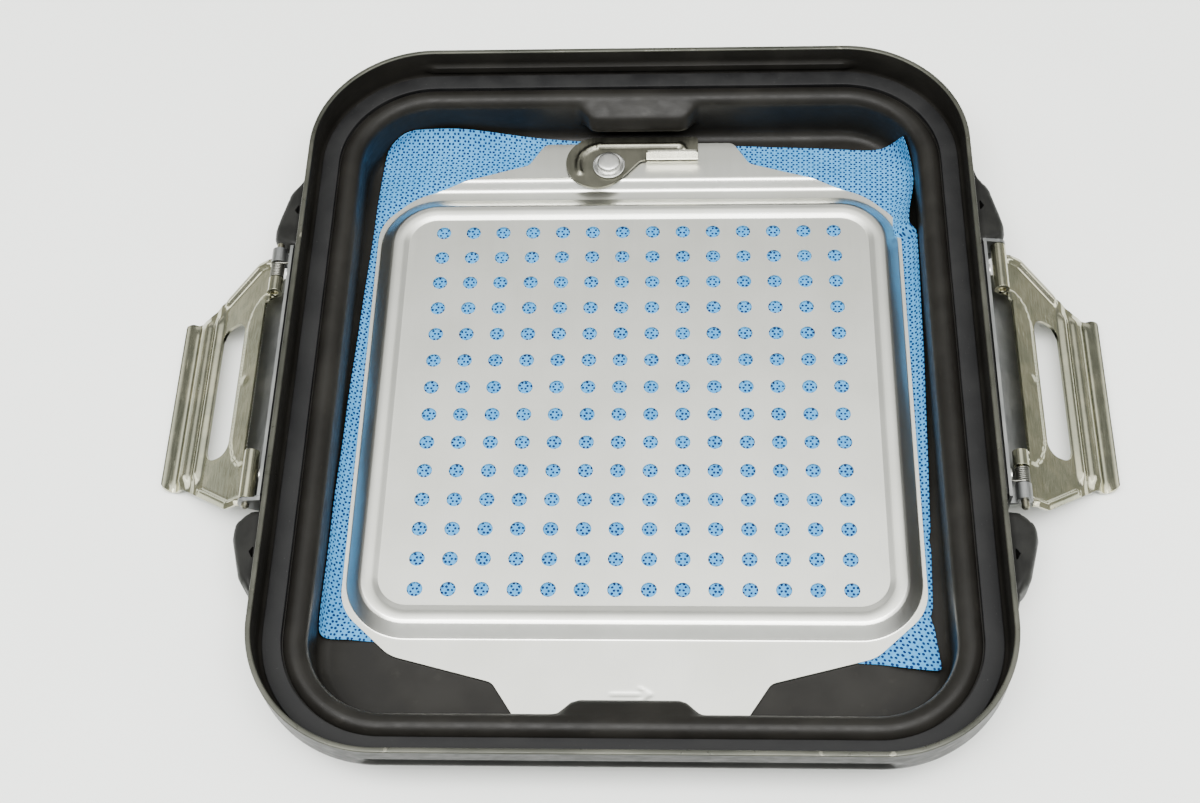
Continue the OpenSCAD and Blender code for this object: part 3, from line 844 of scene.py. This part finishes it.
def climb(distance_out):
    """Where a limp sheet goes past the floor's edge: out and up the wall."""
    radius, wall_gap = 5.2, 0.4
    start = WALL_R - wall_gap - radius
    s = np.maximum(distance_out - start, 0)
    angle = np.minimum(s / radius, math.pi / 2)
    above = np.maximum(s - radius * math.pi / 2, 0)
    out = np.where(distance_out < start, distance_out, start + radius * np.sin(angle))
    return out, radius * (1 - np.cos(angle)) + above


def build_filter():
    outline = sheet_outline()
    points, faces = fill(outline, (), (), scatter(outline, (), 2.2))
    cos, sin = math.cos(SHEET_TURN), math.sin(SHEET_TURN)
    x = SHEET_MIDDLE[0] + points[:, 0] * cos - points[:, 1] * sin
    y = SHEET_MIDDLE[1] + points[:, 0] * sin + points[:, 1] * cos
    cx = np.clip(x, -CENTRE_X, CENTRE_X)
    cy = np.clip(y, -CENTRE_Y, CENTRE_Y)
    reach = np.hypot(x - cx, y - cy)
    out, rise = climb(reach)
    scale = out / np.maximum(reach, 1e-6)
    px, py = cx + (x - cx) * scale, cy + (y - cy) * scale
    rise, px, py = sheet_waves(x, y, px, py, rise)
    floor = SHELL_T + SHEET_T + 0.05 + floor_rise(px, py)
    verts = np.stack([px, py, floor + rise], axis=1)
    piece = make_piece("filter_cloth", verts, faces, "lid", "filter_sheet", [FILTER], ["filter_sheet"])
    map_flat(piece, points)
    thicken(piece, SHEET_T, 0.08)


def map_flat(piece, points):
    """A UV map that holds each vertex's place on the flat sheet, in millimetres."""
    mesh = piece.data
    if len(mesh.vertices) != len(points):
        raise ValueError("the sheet's vertices have moved")
    order = np.zeros(len(mesh.loops), dtype=np.int32)
    mesh.loops.foreach_get("vertex_index", order)
    layer = mesh.uv_layers.new(name="flat_mm")
    layer.data.foreach_set("uv", points[order].astype(np.float32).ravel())


def hill(x, y, at, size):
    """A smooth bump, 1 at its middle."""
    return np.exp(-((x - at[0]) / size[0]) ** 2 - ((y - at[1]) / size[1]) ** 2)


def sheet_waves(x, y, px, py, rise):
    """The lifts, ripples and the tuck that the loose edges show."""
    clear_of_plate = smooth(0, 7, -depth_in(np.column_stack([px, py]), plate_loop()))
    past_tabs = 0.15 + 0.85 * smooth(50, 66, np.abs(x))
    ripple = 0.5 * np.sin(x / 9 + 1.3 * np.sin(y / 31)) + 0.5 * np.sin(y / 7.5 + 1.1 * np.sin(x / 23))
    rise = rise + 0.8 * clear_of_plate * past_tabs * (1 + ripple)
    for height, at, size in EDGE_LIFTS:
        rise = rise + height * hill(x, y, at, size)
    corner = hill(x, y, (112, -113), (16, 13)) * clear_of_plate
    crinkle = hill(x, y, (118, -92), (9, 2.6)) + 0.6 * hill(x, y, (118, -60), (7, 2.2))
    rise = rise + 1.6 * corner + 0.9 * crinkle
    px = px + 2.2 * corner - 1.6 * crinkle
    tuck = smooth(81, 82.5, y) * (1 - smooth(84, 108, y)) * smooth(106, 115, x)
    bow = 0.9 * smooth(-70, -20, x) + 1.2 * smooth(40, 96, x) * (1 - smooth(104, 114, x))
    return rise + 3.5 * tuck, px - 3.4 * tuck, py - bow * smooth(100, 128, y) - 2.6 * corner


# ---- retention plate

PLATE_RIGHT = [(41.4, -134, 1), (51.5, -118.6, 5), (90.6, -108.3, 15), (111, -89.5, 18),
               (111, 89.4, 18), (96, 103.5, 28), (47.8, 118, 4), (40.8, 129.3, 3.5)]
JOGGLE = (105.4, 110.6)


def plate_loop():
    return rounded(PLATE_RIGHT + [(-x, y, r) for x, y, r in reversed(PLATE_RIGHT)])


def plate_height(points):
    """Flange and tabs: the far tab steps up over the joggle."""
    step = smooth(JOGGLE[0], JOGGLE[1], points[:, 1])
    seat = 1 - smooth(5.4, 6.6, np.hypot(points[:, 0] - LEVER_AT.x, points[:, 1] - LEVER_AT.y))
    return FLANGE_Z + (TAB_Z - FLANGE_Z) * step + 0.6 * seat - 0.2 * arrow_depth(points)


def arrow_depth(points):
    """A plain stamped arrow on the near tab, in place of any marking."""
    shaft = distance(points, [(-7, -123), (7, -123)], closed=False)
    barb_a = distance(points, [(7.4, -123), (3.4, -120.6)], closed=False)
    barb_b = distance(points, [(7.4, -123), (3.4, -125.4)], closed=False)
    return 1 - smooth(0.3, 0.9, np.minimum(shaft, np.minimum(barb_a, barb_b)))


LEVER_AT = joint_at("lever_turn")


def ring_section():
    """The top of the raised ring, from the field out to the flange."""
    half = PLATE_T / 2
    field, ring, flange = FIELD_Z - half, FIELD_Z + RING_RISE - half, FLANGE_Z - half
    foot = FIELD_R + 12.9
    crown_from, crown_w = FIELD_R + 2.2, 4.6
    line = trace([(FIELD_R - 1, field), (FIELD_R, field), (crown_from, ring),
                  (crown_from + crown_w, ring), (foot - 0.6, flange), (foot + 0.7, flange)],
                 [1.4, 1.4, 2.6, 1.5], steps=7, longest=1.5)
    crowned = []
    for p, n in line:
        t = (p.x - crown_from) / crown_w
        crown = 0.3 * (1 - (2 * t - 1) ** 2) if 0 < t < 1 else 0
        crowned.append(p + n * half + Vector((0, crown)))
    return crowned


def build_plate():
    section = ring_section()
    marks_x = np.linspace(-PLATE_CX, PLATE_CX, 41)
    marks_y = np.linspace(-PLATE_CY, PLATE_CY, 37)
    ring = stations(PLATE_CX, PLATE_CY, 20, marks_x, marks_y)
    verts, faces = sweep(section, ring, closed=False)
    outer = ring_line(ring, section[-1].x)
    field, field_faces = fill(ring_line(ring, section[0].x), hole_grid(PLATE_STEPS))
    outline = chopped(plate_loop(), 3.0)
    detail = scatter(outline, [outer], 0.9, near_tab_details)
    levels = np.linspace(JOGGLE[0], JOGGLE[1], 15)
    lines = [[(-112.0, y), (112.0, y)] for y in levels]
    flange, flange_faces = fill(outline, [outer], lines, detail)
    field_z = np.full(len(field), section[0].y)
    flange_z = plate_height(flange)
    parts = [
        (verts.reshape(-1, 3), faces),
        (np.column_stack([field, field_z]), field_faces),
        (np.column_stack([flange, flange_z]), flange_faces),
    ]
    node = "retention_plate"
    piece = make_piece("plate_sheet", *joined(parts), "lid", node, [SATIN], [node])
    thicken(piece, PLATE_T, 0.2)


def near_tab_details(points):
    """Where the flange has relief that is finer than its outline."""
    seat = np.hypot(points[:, 0] - LEVER_AT.x, points[:, 1] - LEVER_AT.y) < 8
    arrow = (np.abs(points[:, 0]) < 10) & (np.abs(points[:, 1] + 123) < 5)
    return seat | arrow


# ---- lever

LEVER_T = 1.2
HEAD_R = 13.5
HEAD_AT = (-5.2, 2.3)
ARM_NEAR = 3.4
ARM_END = 38.4
TAB_LEN = 22.2
TAB_H = 5.4
CUT_BACK = 1.8
RIB_MIDDLE = (-3.0, 1.0)
RIB_R = 10.3


def lever_outline():
    """A round cam head and a straight arm whose near edge is cut back for the tab."""
    hx, hy = HEAD_AT
    turn = np.radians(np.linspace(90, 315.6, 37))
    head = [(hx + HEAD_R * math.cos(a), hy + HEAD_R * math.sin(a)) for a in turn]
    cut = ARM_NEAR + CUT_BACK
    path = [head[-1], (13.6, ARM_NEAR), (15.6, ARM_NEAR), (16.2, cut), (ARM_END, cut),
            (ARM_END, hy + HEAD_R), head[0]]
    arm = trace(path, [3.0, 0.4, 0.4, 0.3, 1.5], steps=5)
    return head + [tuple(p) for p, _ in arm[1:-1]]


def rib_line():
    """The rib's middle: round the rivet's left side, along the arm and down."""
    mx, my = RIB_MIDDLE
    top = my + RIB_R
    angles = np.radians(np.linspace(203, 90, 16))
    turn = [(mx + RIB_R * math.cos(a), my + RIB_R * math.sin(a)) for a in angles]
    end_x, end_r = 30, 2.4
    angles = np.radians(range(0, 100, 15))
    curl = [(end_x + end_r * math.sin(a), top - end_r * (1 - math.cos(a))) for a in angles]
    return turn + [(10.0, top), (20.0, top)] + curl


def build_lever():
    low = node_box("lock_lever")[0]
    outline = lever_outline()
    hole = circle(0, 0, 2.5, 24)
    points, faces = fill(outline, [hole], (), scatter(outline, [hole], 0.75))
    rib = 1.0 * (1 - smooth(0.45, 1.6, distance(points, rib_line(), closed=False)))
    dome = 0.25 * (1 - smooth(3.0, 7.5, np.hypot(points[:, 0], points[:, 1])))
    top = low.z + LEVER_T + rib + dome
    verts = np.column_stack([points[:, 0] + LEVER_AT.x, points[:, 1] + LEVER_AT.y, top])
    plate = make_piece("lever_sheet", verts, faces, "lever", "lock_lever", [LEVER_STEEL], ["lock_lever"])
    thicken(plate, LEVER_T, 0.16)
    build_finger_tab(low.z)


def build_finger_tab(base):
    """The arm's upturned edge, bent up on a small radius with cut-off corners."""
    middle = ARM_NEAR + LEVER_T / 2
    level = base + LEVER_T / 2 - 0.03
    line = trace([(ARM_NEAR + CUT_BACK + 1, level), (middle, level), (middle, level + LEVER_T / 2 + TAB_H)],
                 [1.1], steps=6, longest=0.6)
    x0, x1, cut = ARM_END - TAB_LEN, ARM_END, 1.0
    columns = [x0, x0 + 0.3 * cut, x0 + cut] + list(np.linspace(x0 + 3, x1 - 3, 8))
    columns += [x1 - cut, x1 - 0.3 * cut, x1]
    verts = []
    for x in columns:
        into = min(1.0, (min(x - x0, x1 - x)) / cut)
        top = base + LEVER_T + TAB_H - cut * (1 - math.sqrt(1 - (1 - into) ** 2))
        verts += [(LEVER_AT.x + x, LEVER_AT.y + p.x, min(p.y, top)) for p, _ in line]
    faces = grid(len(columns), len(line), ring=False)
    # The tab's light cream steel is a painted reflection, much lighter than the lever sheet it is bent
    # from.
    tab = make_piece("lever_finger_tab", verts, faces, "lever", "lock_lever", [TAB_STEEL_PAINTED_REFLECTION])
    thicken(tab, LEVER_T, 0.15, offset=0)


def build_rivet():
    low, high = node_box("lock_rivet")
    top = high.z
    head = [(4.8, top - 3.3), (5.0, top - 3.1), (5.0, top - 1.4), (4.88, top - 0.9),
            (4.6, top - 0.5), (4.1, top - 0.24), (3.2, top - 0.1), (1.6, top - 0.03), (0.001, top)]
    foot = [(0.001, low.z), (3.4, low.z), (4.0, low.z + 0.25), (4.3, low.z + 0.6), (4.3, low.z + 1.0),
            (2.4, low.z + 1.0), (2.4, top - 3.3)]
    verts, faces = lathe(foot + head, LEVER_AT.x, LEVER_AT.y)
    make_piece("lever_rivet", verts, faces, "lid", "lock_rivet", [RIVET_STEEL], ["lock_rivet"])
    low, high = node_box("lock_washer")
    ring = [(2.55, low.z), (5.3, low.z), (6.5, low.z + 0.3), (6.9, low.z + 0.55), (6.9, low.z + 0.9),
            (6.6, high.z), (6.0, high.z - 0.1), (5.2, low.z + 0.72), (2.55, low.z + 0.7), (2.55, low.z)]
    verts, faces = lathe(ring, LEVER_AT.x, LEVER_AT.y, 64)
    make_piece("lever_washer", verts, faces, "lid", "lock_washer", [BRIGHT_STEEL], ["lock_washer"])


# ---- latches

HINGE = joint_at("right_latch_hinge")
PLATE_N = -KNUCKLE_R
LATCH_FAR = [(4.6, 56.5, 1.2), (13.6, 56.6, 3), (41.2, 39.9, 5), (47.6, 39.2, 2), (49.8, 37.0, 2)]
FLAP = [(30.5, 0), (32.0, 0), (33.4, 2.0), (35.0, 2.0), (36.4, 1.2), (37.6, 1.2), (39.2, 2.8),
        (43.2, 2.8), (45.6, 0.8), (47.0, 0.8), (48.6, 4.9), (50.0, 5.6)]


FLAP_HALF = 39.6
BORDER_H = 1.5
LIP_DROP = 0.6
PANEL_H = 1.2
SLOT = [(17.8, 31, 5.75), (31.2, 31, 5.75)]
DENSE_FROM = 31.2
DENSE_TO = 49.8
ROW_GAP = 0.4


def to_world(side, points):
    """From a latch's own frame (out, along, up) to the lid's; the left is turned."""
    matrix = Matrix.Translation(HINGE) @ Matrix.Rotation(OPEN_ANGLE, 4, "Y")
    if side < 0:
        matrix = Matrix.Rotation(math.pi, 4, "Z") @ matrix
    return [matrix @ Vector(p) for p in points]


def latch_outline():
    return chopped(rounded(mirrored(LATCH_FAR)), 0.9)


def panel_line():
    """The raised inner panel's outline."""
    return rounded(mirrored([(5.0, 38.6, 1), (9.5, 38.2, 3), (13.2, 34.0, 4), (15.4, 27.0, 6)]))


def latch_height(points):
    """The pressed relief of a latch above its flat underside plus a sheet."""
    s, y = points[:, 0], np.abs(points[:, 1])
    flap_s, flap_n = zip(*FLAP)
    flap = sum(np.interp(s + d, flap_s, flap_n) for d in np.linspace(-0.9, 0.9, 7)) / 7
    ends = 1 - (0.4 + 0.6 * smooth(0.2, 4.0, FLAP_HALF - y))
    flap = flap * (1 - ends * smooth(30, 31, s) * (1 - smooth(47.5, 48.2, s)))
    panel = PANEL_H * smooth(-0.9, 0.3, depth_in(points, panel_line()))
    edge = distance(np.column_stack([s, y]), [corner[:2] for corner in LATCH_FAR[:3]], closed=False)
    border = BORDER_H * (1 - smooth(2.3, 3.9, edge)) - LIP_DROP * (1 - smooth(0.4, 1.4, edge))
    border = border * (1 - smooth(30, 35, s)) * smooth(5, 8, s)
    bulge = 0.35 * hill(points[:, 0], points[:, 1], (12.0, 0.0), (1.3, 1.3))
    return np.cbrt(flap ** 3 + border ** 3) + panel + bulge


def build_latch(side, name, node, body):
    outline = latch_outline()
    slot = rounded(mirrored(SLOT), steps=10)
    along = np.arange(-58, 58.1, 2).tolist()
    rows = [[(s, y) for y in along] for s in np.arange(DENSE_FROM, DENSE_TO, ROW_GAP).tolist()]
    loose = scatter(outline, [slot], 0.85, lambda p: p[:, 0] < DENSE_FROM - ROW_GAP)
    points, faces = fill(outline, [slot], rows, loose)
    points, faces = cut_hinge_edge(points, faces)
    n = PLATE_N + LATCH_T + latch_height(points)
    local = np.column_stack([points, n])
    piece = make_piece(name + "_sheet", to_world(side, local), faces, body, "latch", [LATCH_STEEL], [node])
    thicken(piece, LATCH_T, 0.16)
    for y0, y1, label in ((-SPRING_Y0 + 0.4, -KNUCKLE_IN, "spring"), (KNUCKLE_IN, KNUCKLE_OUT, "plain")):
        verts, faces = knuckle(y0, y1)
        barrel = make_piece(name + "_" + label + "_knuckle", to_world(side, verts), faces, body, "latch",
                            [LATCH_STEEL])
        soften(barrel, 0.12, 40)


def cut_hinge_edge(points, faces):
    """Clears the sheet where the springs and the middle gap are."""
    middle = points[faces].mean(axis=1)
    s, y = middle[:, 0], middle[:, 1]
    spring_gap = (s < 6.0) & (y < -SPRING_Y0 + 0.2)
    middle_gap = (s < 6.0) & (np.abs(y) < 34.6)
    return points, faces[~(spring_gap | middle_gap)]


def knuckle(y0, y1):
    """A rolled barrel whose sheet runs in from the latch plate under the pin."""
    bore = PIN_R + 0.05
    turn = [math.radians(-90 - 8.8 * i) for i in range(41)]
    outer = [(KNUCKLE_R * math.cos(a), KNUCKLE_R * math.sin(a)) for a in turn]
    inner = [(bore * math.cos(a), bore * math.sin(a)) for a in reversed(turn[6:])]
    section = [(5.6, PLATE_N)] + outer + inner + [(3.1, PLATE_N + LATCH_T), (5.6, PLATE_N + LATCH_T)]
    verts = [(s, y0, n) for s, n in section] + [(s, y1, n) for s, n in section]
    count = len(section)
    ends = [tuple(range(count)), tuple(range(2 * count - 1, count - 1, -1))]
    return verts, ends + band(0, count, count)


def build_spring(side, name, node):
    """A close-wound torsion spring with one leg."""
    wire, coil_r, turns, per_turn = 0.4, 2.4, 7.5, 28
    start, end = -SPRING_Y0 - wire, -SPRING_Y1 + wire
    path = []
    steps = int(turns * per_turn)
    for i in range(steps + 1):
        a = 2 * math.pi * i / per_turn
        y = start + (end - start) * i / steps
        path.append((HINGE.x + coil_r * math.cos(a), y, HINGE.z + coil_r * math.sin(a)))
    tail = [(HINGE.x - 3.4, end, HINGE.z + coil_r - 0.5), (HINGE.x - 5.2, end, HINGE.z + coil_r + 0.1)]
    verts, faces = tube(path, wire, 8)
    leg_verts, leg_faces = tube([(HINGE.x + 0.5, end, HINGE.z + coil_r - 0.02)] + tail, wire, 8)
    verts, faces = joined([(verts, faces), (leg_verts, leg_faces)])
    if side < 0:
        verts = [(-x, -y, z) for x, y, z in verts]
    make_piece(name, verts, faces, "lid", "springs", [WIRE_STEEL], [node])


# ---- guards

GUARD_PLAN = [(-0.6, 59.6, 0.8), (6.2, 60.4, 4), (12.0, 64.8, 5), (12.2, 71, 8), (7.6, 88.2, 10),
              (3.6, 92.6, 6), (1.0, 103, 4), (-0.6, 106, 0.6)]


def build_guard(sx, sy, name, node):
    """A lobed ear with a rounded top edge and a shallow valley by the skirt."""
    low, high = node_box(node)
    plan = rounded(GUARD_PLAN, steps=7)
    hole = rounded([(2.4, 75.4, 0.3), (4.2, 78.0, 0.3), (2.4, 81.4, 0.3)], steps=3)
    points, faces = fill(plan, [hole], (), scatter(plan, [hole], 0.9))
    gap = distance(points, [p for p in plan if p[0] > 0.2], closed=False)
    edge_r = 3.2
    drop = edge_r - np.sqrt(np.maximum(edge_r ** 2 - np.maximum(edge_r - gap, 0) ** 2, 0))
    valley = 1.3 * (1 - smooth(0.5, 4.0, points[:, 0]))
    lean = 0.25 * points[:, 0]
    top = high.z - drop - valley - lean
    x0 = HALF_X
    parts = []
    verts = np.column_stack([x0 + points[:, 0], points[:, 1], top])
    parts.append((verts, faces))
    for loop in (plan, hole):
        ring = np.array(loop)
        order = [int(np.argmin(np.hypot(*(points - p).T))) for p in ring]
        wall = [tuple(verts[i]) for i in order]
        base = [(x, y, low.z + 1.0) for x, y, _ in wall]
        parts.append((wall + base, band(0, len(wall), len(wall))))
    bottom_verts = np.column_stack([x0 + points[:, 0], points[:, 1], np.full(len(points), low.z + 1.0)])
    parts.append((bottom_verts, faces[:, ::-1]))
    verts, faces = joined(parts)
    verts = [(sx * x, sy * y, z) for x, y, z in verts]
    make_piece(name, verts, faces, "lid", "guards", [GUARD], [node])


# ---- CAD finishes

def dress(node, material, edge):
    """A CAD node that is already right: its own finish and softened edges."""
    piece = frame["nodes"][node]
    piece.data.materials.clear()
    piece.data.materials.append(material)
    soften(piece, edge, 30)


def build_all():
    build_shell()
    build_gasket()
    build_filter()
    build_plate()
    build_lever()
    build_rivet()
    for side, name in ((1, "right"), (-1, "left")):
        build_latch(side, name + "_latch", name + "_latch", name + "_latch_body")
        build_spring(side, name + "_coil", name + "_spring")
        # The bracket's dark steel is painted shade.
        dress(name + "_bracket", BRACKET_STEEL_PAINTED_SHADE, 0.2)
        dress(name + "_rivets", RIVET_STEEL, 0.2)
        for end in ("far", "near"):
            dress("%s_%s_pin" % (name, end), PIN_STEEL, 0.1)
    for sx, side in ((1, "right"), (-1, "left")):
        for sy, end in ((1, "far"), (-1, "near")):
            build_guard(sx, sy, "%s_%s_ear" % (side, end), "%s_%s_guard" % (side, end))


# ---- stage, light, camera

TABLE_HALF = 2.5


def build_floor():
    mesh = bpy.data.meshes.new("table_top")
    half = TABLE_HALF
    corners = [(-half, -half, 0), (half, -half, 0), (half, half, 0), (-half, half, 0)]
    mesh.from_pydata(corners, [], [(0, 1, 2, 3)])
    floor = bpy.data.objects.new("table_top", mesh)
    mesh.materials.append(table_material())
    bpy.context.scene.collection.objects.link(floor)


def area_light(name, at, size, power, colour=(1, 1, 1)):
    light = bpy.data.lights.new(name, "AREA")
    light.shape = "RECTANGLE"
    light.size, light.size_y = size
    light.energy = power
    light.color = colour
    lamp = bpy.data.objects.new(name, light)
    lamp.location = at
    lamp.rotation_euler = (-Vector(at)).to_track_quat("-Z", "Y").to_euler()
    bpy.context.scene.collection.objects.link(lamp)


def build_world():
    """A pale ceiling over a dim room."""
    world = bpy.data.worlds.new("soft_room")
    world.use_nodes = True
    tree = world.node_tree
    place = tree.nodes.new("ShaderNodeTexCoord")
    split = tree.nodes.new("ShaderNodeSeparateXYZ")
    ramp = tree.nodes.new("ShaderNodeValToRGB")
    tree.links.new(place.outputs["Generated"], split.inputs[0])
    tree.links.new(split.outputs["Z"], ramp.inputs["Fac"])
    tree.links.new(ramp.outputs["Color"], tree.nodes["Background"].inputs["Color"])
    stops = ramp.color_ramp.elements
    for height, colour in ROOM:
        stop = stops.new(height)
        stop.color = (*colour, 1)
    stops.remove(stops[-1])
    stops.remove(stops[0])
    bpy.context.scene.world = world


ROOM = [(0.02, (0.42, 0.42, 0.36)), (0.3, (0.58, 0.59, 0.51)), (0.55, (0.4, 0.41, 0.4)),
        (0.78, (0.3, 0.31, 0.3)), (0.88, (2.3, 2.33, 2.24)), (0.99, (3.2, 3.23, 3.12))]


def build_lights():
    build_world()
    area_light("over_head", (0.0, -0.55, 1.9), (2.2, 1.0), 96)
    area_light("far_window", (0.0, 1.75, 1.0), (2.6, 0.7), 5)
    area_light("near_window", (0.0, -1.9, 1.0), (2.6, 0.7), 7, (0.9, 0.97, 1.0))
    area_light("left_window", (-1.5, 0.1, 1.3), (0.9, 1.4), 15)
    area_light("right_window", (1.5, 0.1, 1.3), (0.9, 1.4), 13)


CAMERA_AT = (21.676, -355.018, 617.462)
CAMERA_TURNS = [("Y", 3.3455), ("X", 30.0844), ("Z", 1.5817)]
SENSOR = 36.0
LENS = 52.96


def build_camera():
    data = bpy.data.cameras.new("view")
    data.sensor_width = SENSOR
    data.lens = LENS
    camera = bpy.data.objects.new("view", data)
    camera.matrix_world = Matrix.Translation(Vector(CAMERA_AT) * MM)
    for axis, degrees in CAMERA_TURNS:
        camera.matrix_world = camera.matrix_world @ Matrix.Rotation(math.radians(degrees), 4, axis)
    bpy.context.scene.collection.objects.link(camera)
    bpy.context.scene.camera = camera


build_all()
build_floor()
build_lights()
build_camera()

bpy.context.view_layer.update()
